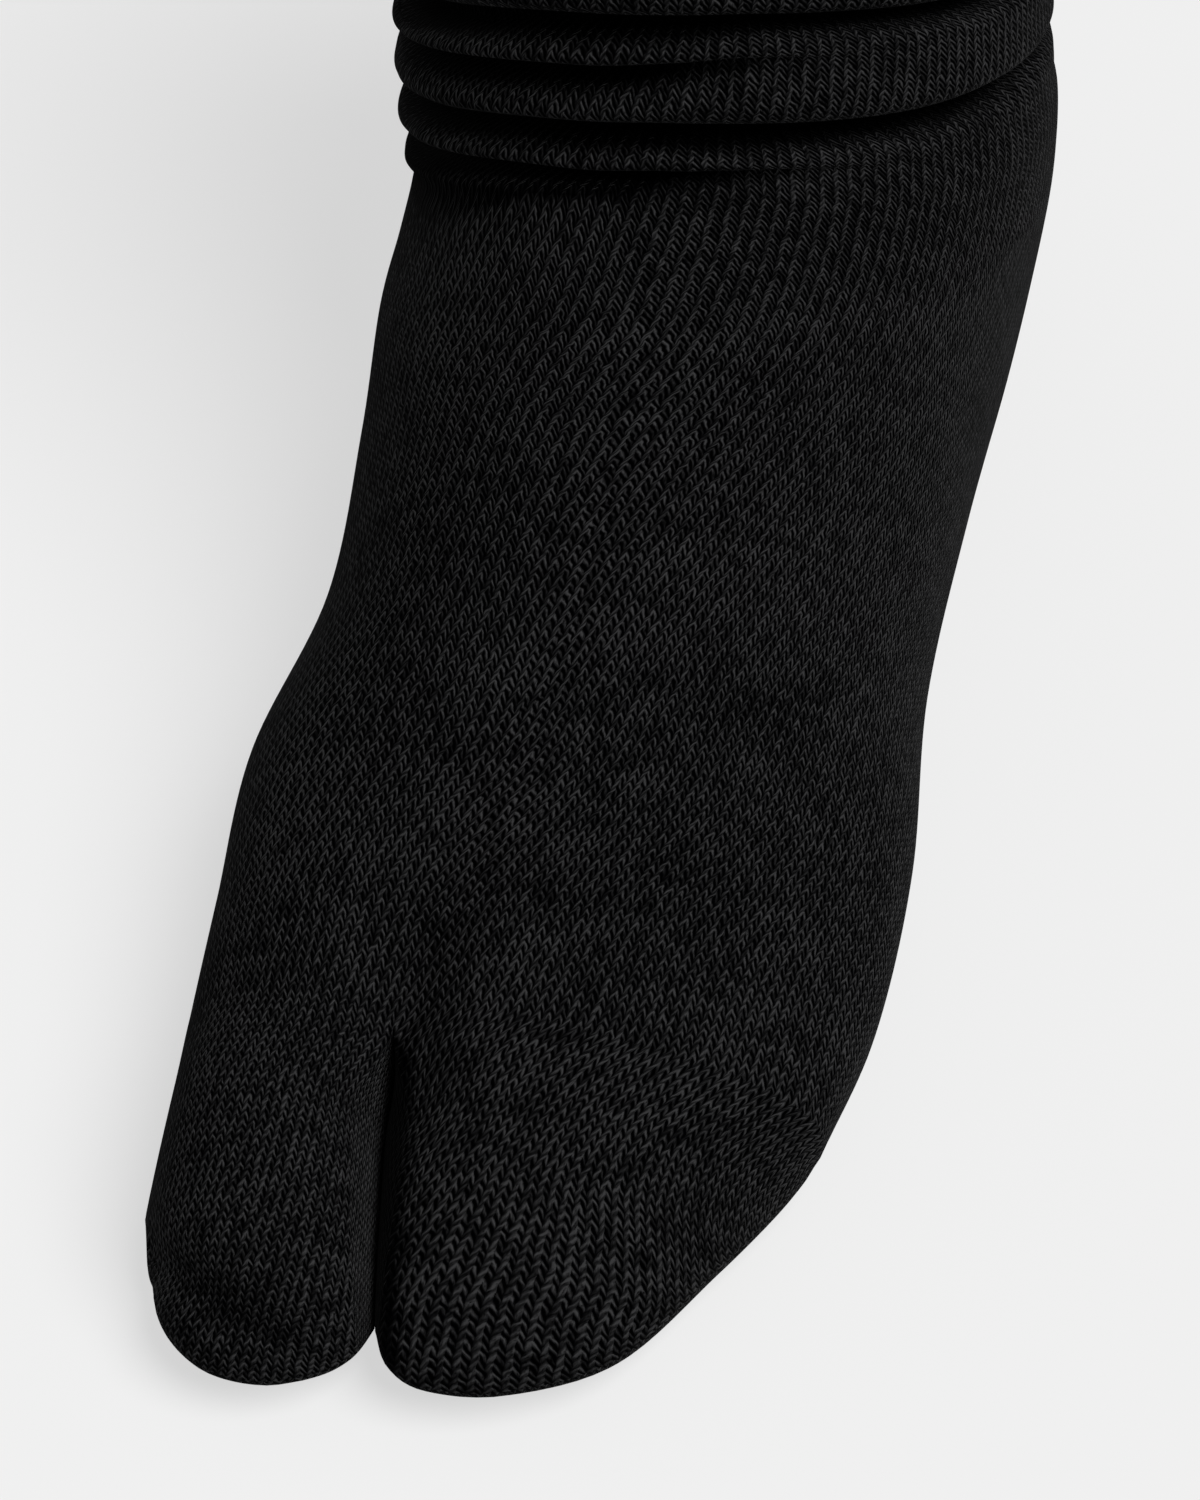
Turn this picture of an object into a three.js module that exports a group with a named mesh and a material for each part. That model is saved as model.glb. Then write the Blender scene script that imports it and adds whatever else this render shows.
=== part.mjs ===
// A split-toe sock for the left foot, standing on its own sole as if worn.
// Millimetres. +Z is up, the toes point to -Y, the little-toe side is +X.
// The origin is on the floor, on the sole under the ankle.
//
// The sock is one knitted tube: a rib welt, a leg that has slid down into rolls,
// a turned heel, the foot, and two closed toe pockets. Its cloth is a wall round an
// empty hollow, open only at the welt.

import * as THREE from 'three';

// ---- driving sizes -------------------------------------------------------------------------

const WALL = 1.6;            // thickness of the knitted cloth
const AROUND = 40;           // points round each ring of the tube
const WEB = 5;               // steps up the web between the two toe pockets
const TOE_RINGS = 7;         // rings from the split to each toe tip
const CREASE_FADE = 32;      // degrees over which a crease dies out at its ends
const ROLL_ROUNDNESS = 0.66; // power of a roll's side: 0.5 is a half circle, 1 a soft wave
const ROLL_SAG = 0.16;       // share of a roll's height that its belly sags over its crease
const FULL_SAG_DEPTH = 4;    // depth of crease at which a roll sags by its full share
const SOLE_TRIM = 0.9;       // sections are sunk this far and cut flat at the floor
const SOLE_TRIM_REACH = 30;  // height up to which the sinking fades out
const VALLEY_DEEP = 7.5;     // dip of the upper between the toe pockets, at the split
const VALLEY_UNDER = 3;      // rise of the sole between the toe pockets, at the split
const VALLEY_WIDE = 7.5;     // half width of both
const VALLEY_ROWS = 1.7;     // sections over which both fade in
const SPLIT_Y = -139;        // root of the split between the toes
const WEB_BACKING = 2.6;     // how far the cloth reaches behind the web between the pockets
const TIP_CROWDING = 0.9;    // power that gathers the pocket rings towards the tips

// Sections of the tube, from the welt to the split. A section is a ring through a front (or top)
// point and a back (or under) point on the foot's middle plane. inner and outer are its half
// widths, crest and keel the sideways places of its front and back points, wide the height share
// of its widest place, and p_front and p_back how square its two halves are. rise_in and rise_out
// lift its sides up the leg.
const SECTIONS = table(
  ['name', 'front_y', 'front_z', 'back_y', 'back_z', 'inner', 'outer', 'crest', 'keel', 'wide', 'p_front', 'p_back',
    'rise_in', 'rise_out', 'steps'],
  [
    ['rim',        5.0, 172.0,   79, 141.0, -37.0, 35.5,   0,   0, 0.50, 2.0, 2.0,   0,  0, 2],
    ['rib_foot',  -3.0, 155.0, 73.5, 121.0, -37.5, 36.0,   0,   0, 0.50, 2.0, 2.0,  -1,  0, 2],
    ['shaft',    -13.0, 137.0,   69, 100.0, -41.5, 39.0,   0,   0, 0.50, 2.0, 2.0,  -6, -1, 3],
    ['crease_4', -24.0, 122.5,   65,  82.5, -46.6, 42.4,   0,   0, 0.50, 2.0, 2.0, -12, -3, 5],
    ['crease_3', -31.0, 114.0, 62.5,  71.0, -48.0, 43.6,   0,   0, 0.50, 2.0, 2.0, -16, -4, 5],
    ['crease_2', -34.5, 106.4, 60.8,  60.0, -47.2, 44.7,   0,   0, 0.50, 2.0, 2.0, -19, -4, 5],
    ['crease_1', -37.9,  98.8, 59.8,  49.5, -46.0, 45.6,  -1,   0, 0.50, 2.0, 2.0, -21, -5, 5],
    ['crease_0', -41.0,  91.6, 59.6,  38.5, -44.8, 46.8,  -1,   0, 0.50, 2.0, 2.1, -21, -4, 2],
    ['under',    -44.5,  86.0,   59,  26.0, -43.5, 47.2,  -2,   0, 0.48, 2.0, 2.1, -15, -3, 2],
    ['heel',     -50.5,  82.0, 55.5,  10.5, -43.5, 47.2,  -3,   0, 0.47, 2.0, 2.2,  -8, -1, 2],
    ['turn',     -58.5,  77.5,   42,   0.0, -44.0, 46.6,  -3,   0, 0.45, 2.0, 2.3,  -3,  0, 2],
    ['sole',     -68.0,  72.5,   18,   0.0, -44.0, 46.0,  -4,   0, 0.43, 2.0, 2.4,   0,  0, 2],
    ['instep',   -80.0,  66.0,  -15,   0.0, -42.5, 44.5,  -5,   2, 0.40, 1.9, 2.5,   0,  0, 2],
    ['waist',    -94.5,  57.5,  -52,   0.0, -41.6, 44.0,  -7,   5, 0.38, 1.9, 2.6,   0,  0, 2],
    ['fore',    -110.0,  49.0,  -86,   0.0, -46.8, 47.0,  -9,   4, 0.36, 1.9, 2.8,   0,  0, 2],
    ['ball',    -125.0,  41.0, -116,   0.0, -46.0, 46.7, -14,   0, 0.38, 2.0, 3.0,   0,  0, 3],
    ['split',   -139.0,  34.0, -138,   0.0, -45.2, 43.0, -16, -14, 0.42, 2.2, 3.2,   0,  0, 1],
  ]);

// The creases between the rolls, from the top one down, each on the section of its name. front and
// inner are its depths at the front and at the inner side, and it dies out at end_in and end_out
// degrees round from the front. heel is its depth over the heel, deepest at heel_at degrees and
// gone heel_reach degrees from there.
const CREASES = table(
  ['name', 'front', 'inner', 'end_in', 'end_out', 'heel', 'heel_at', 'heel_reach'],
  [
    ['crease_4', 2.8, 1.8, 170,  95, 2.2, 185, 75],
    ['crease_3', 5.0, 3.4, 150, 112, 3.6, 168, 62],
    ['crease_2', 5.0, 3.2, 130,  14, 1.6, 205, 58],
    ['crease_1', 5.2, 4.0, 165, 108, 3.8, 176, 78],
    ['crease_0', 4.4, 3.8, 140,  24, 2.6, 192, 64],
  ]);
const FIRST_CREASE = SECTIONS.findIndex((section) => section.name === CREASES[0].name);
const LAST_CREASE = FIRST_CREASE + CREASES.length - 1;

// The two toe pockets. near faces the split and far the side of the foot; both are sideways
// places at the split. front is the pocket's outline at its tip, from far to near.
const POCKETS = [
  {
    name: 'big', far: -45, near: -17.1, top: 33, tipTop: 25,
    front: [[-44, -165], [-39.6, -179], [-32.8, -186.2], [-24.2, -187.3], [-16.2, -182.3], [-12.4, -172]],
  },
  {
    name: 'lesser', far: 42.6, near: -16.1, top: 32, tipTop: 22,
    front: [[39.8, -145.6], [33.2, -157.8], [22.2, -173.9], [8.6, -181.8], [-3.8, -182.5], [-10.4, -174]],
  },
];
const POCKET = {
  middle: 11,              // height of a pocket's widest place at the split
  tipMiddle: 9,            // and of the seam across its tip
  squareness: 2.3,
  shoulder: 42,            // degrees above and below the web where the two pockets part
  closing: 2.6,            // powers of the curve that closes the tip
  rounding: 2.2,
  blend: 0.35,             // share of the length over which the split's ring becomes the pocket's
};

const KNIT_BLACK = new THREE.MeshStandardMaterial({ color: 0x101012, roughness: 0.95, metalness: 0 });

// ---- small tools ---------------------------------------------------------------------------

function table(columns, rows) {
  return rows.map((row) => Object.fromEntries(columns.map((column, i) => [column, row[i]])));
}

const clamp = (value, low = 0, high = 1) => Math.min(high, Math.max(low, value));
const ease = (value) => clamp(value) ** 2 * (3 - 2 * clamp(value));
const radians = (degrees) => degrees * Math.PI / 180;
const signedPower = (value, power) => Math.sign(value) * Math.abs(value) ** power;

// A smooth curve through evenly numbered values, read at the place t.
function through(values, t) {
  const last = values.length - 1;
  const i = clamp(Math.floor(t), 0, last - 1);
  const f = t - i;
  const b = values[i];
  const c = values[i + 1];
  const a = i > 0 ? values[i - 1] : 2 * b - c;
  const d = i < last - 1 ? values[i + 2] : 2 * c - b;
  return b + 0.5 * f * (c - a + f * (2 * a - 5 * b + 4 * c - d + f * (3 * (b - c) + d - a)));
}

// count + 1 points evenly spaced along a line of points.
function evenly(points, count) {
  const along = [0];
  for (let i = 1; i < points.length; i += 1) along.push(along[i - 1] + points[i].distanceTo(points[i - 1]));
  const total = along[along.length - 1];
  const spaced = [];
  let i = 1;
  for (let k = 0; k <= count; k += 1) {
    const place = total * k / count;
    while (i < points.length - 1 && along[i] < place) i += 1;
    const step = along[i] - along[i - 1] || 1;
    spaced.push(points[i - 1].clone().lerp(points[i], clamp((place - along[i - 1]) / step)));
  }
  return spaced;
}

// ---- the leg and foot ----------------------------------------------------------------------

const FINE = 48;               // points along each quarter of a ring before it is spaced evenly
const FINE_ROWS = 12;          // rings per section in the smooth form that creases are read from
const LAST_ROW = SECTIONS.length - 1;

function sectionAt(t) {
  const section = {};
  for (const key of Object.keys(SECTIONS[0])) {
    if (key !== 'name' && key !== 'steps') section[key] = through(SECTIONS.map((s) => s[key]), t);
  }
  return section;
}

// One ring, from its front point round the outer side to the back and home by the inner side.
function smoothRing(t) {
  const s = sectionAt(t);
  const back = new THREE.Vector3(0, s.back_y, s.back_z);
  const across = new THREE.Vector3(0, s.front_y, s.front_z).sub(back);
  const up = new THREE.Vector3(0, across.z, -across.y).normalize();
  const half = (side, rise) => {
    const line = [];
    for (let k = 0; k <= 2 * FINE; k += 1) {
      const q = radians(90) * (k <= FINE ? k : k - FINE) / FINE;
      const x = k <= FINE
        ? s.crest + (side - s.crest) * Math.sin(q) ** (2 / s.p_front)
        : s.keel + (side - s.keel) * Math.cos(q) ** (2 / s.p_back);
      const v = k <= FINE
        ? s.wide + (1 - s.wide) * Math.cos(q) ** (2 / s.p_front)
        : s.wide * (1 - Math.sin(q) ** (2 / s.p_back));
      const point = back.clone().addScaledVector(across, v).addScaledVector(up, rise * clamp(x / side) ** 2);
      point.x = x;
      line.push(point);
    }
    return evenly(line, AROUND / 2);
  };
  const outer = half(s.outer, s.rise_out);
  const inner = half(s.inner, s.rise_in).reverse();
  return [...outer.slice(0, -1), ...inner.slice(0, -1)];
}

const FORM = [];
for (let k = 0; k <= LAST_ROW * FINE_ROWS; k += 1) FORM.push(smoothRing(k / FINE_ROWS));

function onForm(t, j) {
  const place = clamp(t * FINE_ROWS, 0, FORM.length - 1 - 1e-6);
  const i = Math.floor(place);
  return FORM[i][(j + AROUND) % AROUND].clone().lerp(FORM[i + 1][(j + AROUND) % AROUND], place - i);
}

function outwards(t, j) {
  const along = onForm(Math.min(t + 0.05, LAST_ROW), j).sub(onForm(Math.max(t - 0.05, 0), j));
  const round = onForm(t, j + 1).sub(onForm(t, j - 1));
  return along.cross(round).normalize();
}

// Depth of the crease on section i at a place round the ring, in degrees from the front, + outer.
function creaseDepth(i, degrees) {
  const crease = CREASES[i - FIRST_CREASE];
  if (!crease) return 0;
  const depth = crease.front + (crease.inner - crease.front) * ease(-degrees / 90);
  const ends = ease((crease.end_out - degrees) / CREASE_FADE) * ease((degrees + crease.end_in) / CREASE_FADE);
  const fromHeel = Math.abs((degrees + 360) % 360 - crease.heel_at);
  return Math.max(depth * ends, crease.heel * ease(1 - fromHeel / crease.heel_reach));
}

// 1 in a crease, falling along a round shoulder to 0 at the crown of the roll beside it.
const shoulder = (f) => 1 - (1 - (1 - clamp(2 * f)) ** 2) ** ROLL_ROUNDNESS;

function tubePoint(t, j) {
  const i = Math.min(Math.floor(t + 1e-9), LAST_ROW - 1);
  const f = t - i;
  const degrees = j <= AROUND / 2 ? 360 * j / AROUND : 360 * j / AROUND - 360;
  const above = creaseDepth(i, degrees);
  const below = creaseDepth(i + 1, degrees);
  let pinch = 0;
  let sag = 0;
  if (i === FIRST_CREASE - 1) pinch = below * f * f;
  if (i === LAST_CREASE) pinch = above * (1 - f);
  if (i >= FIRST_CREASE && i < LAST_CREASE) {
    pinch = above * shoulder(f) + below * shoulder(1 - f);
    sag = ROLL_SAG * Math.sin(Math.PI * f) * clamp(below / FULL_SAG_DEPTH);
  }
  const point = onForm(t + sag, j).addScaledVector(outwards(t, j), -pinch);
  return flatSole(splitValley(point, t, j));
}

// The dip above, and the rise below, that lead into the split.
function splitValley(point, t, j) {
  const fade = ease((t - (LAST_ROW - VALLEY_ROWS)) / VALLEY_ROWS);
  if (fade === 0) return point;
  const top = onForm(t, 0);
  const under = onForm(t, AROUND / 2);
  const dip = VALLEY_DEEP * Math.exp(-(((point.x - top.x) / VALLEY_WIDE) ** 2));
  const rise = VALLEY_UNDER * Math.exp(-(((point.x - under.x) / VALLEY_WIDE) ** 2));
  const height = clamp((point.z - under.z) / (top.z - under.z));
  point.z += fade * (rise * (1 - height) - dip * height);
  return point;
}

function flatSole(point) {
  const sunk = SOLE_TRIM * clamp((SOLE_TRIM_REACH - point.z) / SOLE_TRIM_REACH);
  point.z = Math.max(point.z - sunk, 0);
  return point;
}

// ---- the toe pockets -----------------------------------------------------------------------

// A closed ring of a pocket: AROUND / 2 + 1 points from the top of the web round the far side to
// its foot, then WEB - 1 points back up the web. t runs from 0 at the split to 1 at the tip.
function pocketRing(pocket, t) {
  const middle = POCKET.middle + (POCKET.tipMiddle - POCKET.middle) * t;
  const top = pocket.top + (pocket.tipTop - pocket.top) * t;
  const open = (1 - t ** POCKET.closing) ** (1 / POCKET.rounding);
  const point = (degrees) => {
    const sideways = signedPower(Math.cos(radians(degrees)), 2 / POCKET.squareness);
    const upward = signedPower(Math.sin(radians(degrees)), 2 / POCKET.squareness);
    const far = (1 - sideways) / 2;
    const place = (1 - far) * (pocket.front.length - 1);
    const root = pocket.near + (pocket.far - pocket.near) * far;
    const x = root + (through(pocket.front.map((p) => p[0]), place) - root) * t;
    const y = SPLIT_Y + (through(pocket.front.map((p) => p[1]), place) - SPLIT_Y) * t;
    const reach = upward > 0 ? top - middle : middle;
    return new THREE.Vector3(x, y, middle + reach * open * upward);
  };
  const arc = (from, to, count) => {
    const line = [];
    for (let k = 0; k <= 2 * FINE; k += 1) line.push(point(from + (to - from) * k / (2 * FINE)));
    return evenly(line, count);
  };
  const free = arc(POCKET.shoulder, 360 - POCKET.shoulder, AROUND / 2);
  const web = arc(360 - POCKET.shoulder, 360 + POCKET.shoulder, WEB).slice(1, -1);
  return [...free, ...web].map(flatSole);
}

// ---- the cloth -----------------------------------------------------------------------------

// The outer face of the cloth: its points, four-sided faces that look outwards, and the points
// along the web, from its foot to its top.
function outerFace() {
  const places = [];
  SECTIONS.slice(0, -1).forEach((section, i) => {
    for (let k = 0; k < section.steps; k += 1) places.push(i + k / section.steps);
  });
  places.push(LAST_ROW);

  const points = [];
  const faces = [];
  for (const t of places) {
    for (let j = 0; j < AROUND; j += 1) points.push(tubePoint(t, j));
  }
  for (let start = 0; start + AROUND < points.length; start += AROUND) {
    for (let j = 0; j < AROUND; j += 1) {
      const next = (j + 1) % AROUND;
      faces.push([start + j, start + AROUND + j, start + AROUND + next, start + next]);
    }
  }

  const splitRing = points.length - AROUND;
  const half = AROUND / 2;
  const web = [splitRing + half];
  for (let k = 1; k < WEB; k += 1) {
    web.push(points.length);
    points.push(points[splitRing + half].clone().lerp(points[splitRing], k / WEB));
  }
  web.push(splitRing);

  for (const pocket of POCKETS) {
    const outerSide = pocket.name === 'lesser';
    const root = [];
    for (let j = 0; j <= half; j += 1) root.push(splitRing + (outerSide ? j : (AROUND - j) % AROUND));
    root.push(...web.slice(1, -1));
    addPocket(pocket, root, outerSide, points, faces);
  }
  return { points, faces, web };
}

// A pocket's rings, from the ring it shares with the foot to the seam that its last ring folds to.
function addPocket(pocket, root, outerSide, points, faces) {
  const rootPoints = root.map((index) => points[index]);
  const start = pocketRing(pocket, 0);
  const half = AROUND / 2;
  const overIt = (i) => (i <= half ? half - i : 2 * half + WEB - i);
  let ring = root;
  for (let k = 1; k <= TOE_RINGS; k += 1) {
    const t = Math.sin(radians(90) * k / TOE_RINGS) ** TIP_CROWDING;
    const own = ease(t / POCKET.blend);
    const next = [];
    pocketRing(pocket, t).forEach((point, i) => {
      if (k === TOE_RINGS && overIt(i) < i) {
        next.push(next[overIt(i)]);
        return;
      }
      next.push(points.length);
      points.push(rootPoints[i].clone().add(point).sub(start[i]).lerp(point, own));
    });
    for (let i = 0; i < ring.length; i += 1) {
      const j = (i + 1) % ring.length;
      const face = [ring[i], next[i], next[j], ring[j]];
      faces.push(outerSide ? face : face.reverse());
    }
    ring = next;
  }
}

// Two triangles for each four-sided face, cut along its shorter diagonal.
function triangles(points, faces) {
  const cut = [];
  for (const [a, b, c, d] of faces) {
    const pair = points[a].distanceTo(points[c]) <= points[b].distanceTo(points[d])
      ? [[a, b, c], [a, c, d]]
      : [[b, c, d], [b, d, a]];
    cut.push(...pair.filter(([p, q, r]) => p !== q && q !== r && r !== p));
  }
  return cut;
}

function normals(points, cut) {
  const sums = points.map(() => new THREE.Vector3());
  for (const [a, b, c] of cut) {
    const normal = points[b].clone().sub(points[a]).cross(points[c].clone().sub(points[a]));
    for (const index of [a, b, c]) sums[index].add(normal);
  }
  return sums.map((sum) => sum.normalize());
}

// The whole wall: the outer face, the same face moved in by the cloth's thickness and turned to
// look inwards, and the band between the two round the welt's edge.
function sockGeometry() {
  const { points, faces, web } = outerFace();
  const outer = triangles(points, faces);
  const outward = normals(points, outer);
  const inwards = points.map((point, i) => point.clone().addScaledVector(outward[i], -WALL));
  web.forEach((index, k) => {
    const tilt = k === 0 ? WALL : 0;
    inwards[index] = points[index].clone().add(new THREE.Vector3(0, WEB_BACKING, k === WEB ? -WALL : tilt));
  });

  const count = points.length;
  const inner = outer.map(([a, b, c]) => [count + a, count + c, count + b]);
  const rim = [];
  for (let j = 0; j < AROUND; j += 1) {
    const next = (j + 1) % AROUND;
    rim.push([j, next, count + next], [j, count + next, count + j]);
  }
  const geometry = new THREE.BufferGeometry();
  const all = [...points, ...inwards];
  geometry.setAttribute('position', new THREE.Float32BufferAttribute(all.flatMap((p) => p.toArray()), 3));
  geometry.setIndex([...outer, ...inner, ...rim].flat());
  geometry.computeVertexNormals();
  return geometry;
}

const sock = new THREE.Group();
const cloth = new THREE.Mesh(sockGeometry(), KNIT_BLACK);
cloth.name = 'sock';
sock.add(cloth);

export default sock;
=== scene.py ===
"""A black split-toe sock for the left foot, filled out as worn and standing on its own sole.

Shapes are worked out in millimetres, in the sock's own frame: +Z is up, the toes point to -Y, the
little-toe side is +X, and the origin is on the floor under the ankle. Meshes are made in metres.
Degrees round the sock are counted from its front, + towards the little-toe side. Rows are counted
down the leg and along the foot, one for each section of the table SECTIONS.
"""
import math

import bpy
import numpy as np
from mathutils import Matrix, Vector


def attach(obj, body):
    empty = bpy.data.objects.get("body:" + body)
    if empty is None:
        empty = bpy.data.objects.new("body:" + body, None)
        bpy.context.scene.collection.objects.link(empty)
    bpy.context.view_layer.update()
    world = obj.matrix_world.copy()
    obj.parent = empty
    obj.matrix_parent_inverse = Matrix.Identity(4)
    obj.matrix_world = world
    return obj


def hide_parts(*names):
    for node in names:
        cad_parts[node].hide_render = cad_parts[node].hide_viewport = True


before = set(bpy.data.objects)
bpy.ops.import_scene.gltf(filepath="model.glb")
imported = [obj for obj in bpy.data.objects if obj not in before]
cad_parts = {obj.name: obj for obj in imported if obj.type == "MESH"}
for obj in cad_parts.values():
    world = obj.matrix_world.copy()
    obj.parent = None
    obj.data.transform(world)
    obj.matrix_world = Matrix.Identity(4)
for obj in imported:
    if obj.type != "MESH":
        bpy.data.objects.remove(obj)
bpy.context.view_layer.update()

MM = 0.001

# ---- camera --------------------------------------------------------------------------------------

CAMERA_AZIMUTH = math.radians(12)     # turned a little to the little-toe side
CAMERA_HEIGHT = math.radians(55)
CAMERA_DISTANCE = 0.9
CAMERA_TARGET = Vector((0.0009, -0.0855, 0.020))
CAMERA_LENS, CAMERA_SENSOR = 154.6, 36
CAMERA_CLIP = (0.05, 50)


def make_camera():
    data = bpy.data.cameras.new("camera")
    data.lens, data.sensor_width = CAMERA_LENS, CAMERA_SENSOR
    data.clip_start, data.clip_end = CAMERA_CLIP
    camera = bpy.data.objects.new("camera", data)
    bpy.context.scene.collection.objects.link(camera)
    back = Vector((math.sin(CAMERA_AZIMUTH) * math.cos(CAMERA_HEIGHT),
                   -math.cos(CAMERA_AZIMUTH) * math.cos(CAMERA_HEIGHT),
                   math.sin(CAMERA_HEIGHT)))
    camera.location = CAMERA_TARGET + back * CAMERA_DISTANCE
    camera.rotation_mode = "QUATERNION"
    camera.rotation_quaternion = (-back).to_track_quat("-Z", "Y")
    bpy.context.scene.camera = camera


make_camera()

# ---- the sock's own sizes, in millimetres --------------------------------------------------------

WALL = 1.6                 # thickness of the knitted cloth
AROUND = 240               # points round each ring of the outer face
INNER_SHARE = 2            # the inner face has one point for this many outside
WEB = 12                   # steps up the web between the two toe pockets
TOE_RINGS = 30             # rings from the split to each toe tip
ROLL_ROUNDNESS = 0.45      # power of a roll's side: 0.5 is a half circle, 1 a soft wave
CREASE_FLOOR = 0.15        # share of a roll's height that is the flat bottom of the crease beside it
ROLL_SAG = 0.12            # share of a roll's height that its belly sags over its crease
FULL_SAG_DEPTH = 4         # depth of crease at which a roll sags by its full share
CREASE_SHADOW_REACH = 0.46   # share of a roll's height under a crease that takes painted shadow
LAST_SHADOW_DEGREES = (-45, -20)    # two places round the sock, and how many sections the painted shadow under the last roll reaches down from its crease there
LAST_SHADOW_REACH = (3.6, 1.15)     # reaches down from the last crease there
SOLE_TRIM = 0.9            # sections are sunk this far and cut flat at the floor
SOLE_TRIM_REACH = 30       # height up to which the sinking fades out
VALLEY_DEEP = 7.5          # dip of the upper between the toe pockets, at the split
VALLEY_UNDER = 3           # rise of the sole between the toe pockets, at the split
VALLEY_WIDE = 7.5          # half width of both
VALLEY_ROWS = 1.7          # sections over which both fade in
SPLIT_Y = -139             # root of the split between the toes
WEB_BACKING = 2.6          # how far the cloth reaches behind the web between the pockets
TIP_CROWDING = 0.9         # power that gathers the pocket rings towards the tips

SECTION_COLUMNS = ("front_y front_z back_y back_z inner outer crest keel wide p_front p_back "
                   "rise_in rise_out steps").split()
SECTIONS = {
    "rim":      (5.0, 172.0, 79, 141.0, -37.0, 35.5, 0, 0, 0.50, 2.0, 2.0, 0, 0, 6),
    "rib_foot": (-3.0, 155.0, 73.5, 121.0, -37.5, 36.0, 0, 0, 0.50, 2.0, 2.0, -1, 0, 8),
    "shaft":    (-13.0, 137.0, 69, 100.0, -41.5, 39.0, 0, 0, 0.50, 2.0, 2.0, -6, -1, 12),
    "crease_4": (-24.0, 122.5, 65, 82.5, -46.6, 42.4, 0, 0, 0.50, 2.0, 2.0, -12, -3, 14),
    "crease_3": (-31.0, 114.0, 62.5, 71.0, -48.0, 43.6, 0, 0, 0.50, 2.0, 2.0, -16, -4, 14),
    "crease_2": (-34.5, 106.4, 60.8, 60.0, -47.2, 44.7, 0, 0, 0.50, 2.0, 2.0, -19, -4, 14),
    "crease_1": (-37.9, 98.8, 59.8, 49.5, -46.0, 45.6, -1, 0, 0.50, 2.0, 2.0, -21, -5, 14),
    "crease_0": (-41.0, 91.6, 59.6, 38.5, -44.8, 46.8, -1, 0, 0.50, 2.0, 2.1, -21, -4, 10),
    "under":    (-44.5, 86.0, 59, 26.0, -43.5, 47.2, -2, 0, 0.48, 2.0, 2.1, -15, -3, 6),
    "heel":     (-50.5, 82.0, 55.5, 10.5, -43.5, 47.2, -3, 0, 0.47, 2.0, 2.2, -8, -1, 8),
    "turn":     (-58.5, 77.5, 42, 0.0, -44.0, 46.6, -3, 0, 0.45, 2.0, 2.3, -3, 0, 8),
    "sole":     (-68.0, 72.5, 18, 0.0, -44.0, 46.0, -4, 0, 0.43, 2.0, 2.4, 0, 0, 10),
    "instep":   (-80.0, 66.0, -15, 0.0, -42.5, 44.5, -5, 2, 0.40, 1.9, 2.5, 0, 0, 12),
    "waist":    (-94.5, 57.5, -52, 0.0, -41.6, 44.0, -7, 5, 0.38, 1.9, 2.6, 0, 0, 12),
    "fore":     (-110.0, 49.0, -86, 0.0, -46.8, 47.0, -9, 4, 0.36, 1.9, 2.8, 0, 0, 12),
    "ball":     (-125.0, 41.0, -116, 0.0, -46.0, 46.7, -14, 0, 0.38, 2.0, 3.0, 0, 0, 12),
    "split":    (-139.0, 34.0, -138, 0.0, -45.2, 43.0, -16, -14, 0.42, 2.2, 3.2, 0, 0, 1),
}
SECTION_NAMES = list(SECTIONS)
SECTION_TABLE = np.array(list(SECTIONS.values()), float)
LAST_ROW = len(SECTIONS) - 1
TOP_ROW = 0.86             # the leg starts here, inside the welt
GORE_ROW = SECTION_NAMES.index("heel")

# The creases between the rolls. At each place round the sock, a crease has a depth in millimetres
# and a shift down from its own section, in sections.
CREASE_DEGREES = (-180, -150, -120, -90, -60, -30, -10, 10, 30, 60, 90, 120, 150)
CREASE_DEPTHS = {
    "crease_4": (2.2, 2.0, 2.2, 2.6, 3.0, 3.4, 3.4, 3.0, 2.6, 1.8, 1.0, 0.8, 1.6),
    "crease_3": (3.6, 3.0, 3.6, 5.2, 7.4, 8.6, 8.8, 8.0, 6.8, 5.4, 3.8, 2.0, 2.8),
    "crease_2": (1.6, 1.8, 3.6, 5.4, 7.6, 8.8, 7.0, 2.0, 0.0, 0.0, 0.2, 0.6, 1.0),
    "crease_1": (3.8, 3.2, 4.2, 5.8, 7.8, 9.0, 9.2, 8.4, 7.2, 5.8, 4.4, 2.2, 2.8),
    "crease_0": (2.6, 2.6, 4.8, 7.4, 9.2, 9.2, 7.2, 3.0, 0.4, 0.0, 0.0, 0.6, 1.6),
}
CREASE_SHIFTS = {
    "crease_4": (0.0, 0.1, 0.0, -0.1, 0.1, 0.3, 0.3, 0.1, 0.0, 0.0, 0.0, -0.1, -0.1),
    "crease_3": (-0.1, 0.0, 0.3, 0.5, 0.55, 0.55, 0.50, 0.12, 0.0, 0.05, 0.1, 0.1, 0.0),
    "crease_2": (0.0, -0.1, -0.25, -0.2, -0.05, 0.24, 0.34, -0.25, -0.45, -0.3, -0.1, 0.0, 0.0),
    "crease_1": (0.0, 0.0, -0.3, -0.3, -0.1, 0.20, 0.42, 0.24, 0.02, -0.35, -0.6, -0.3, 0.0),
    "crease_0": (0.0, -0.1, -0.6, -0.75, -0.48, 0.0, 0.28, -0.20, -0.40, -0.4, -0.5, -0.3, 0.0),
}
CREASE_SOFTNESS = 5        # degrees over which a crease's table is smoothed
FIRST_CREASE = SECTION_NAMES.index("crease_4")
LAST_CREASE = SECTION_NAMES.index("crease_0")

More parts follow.
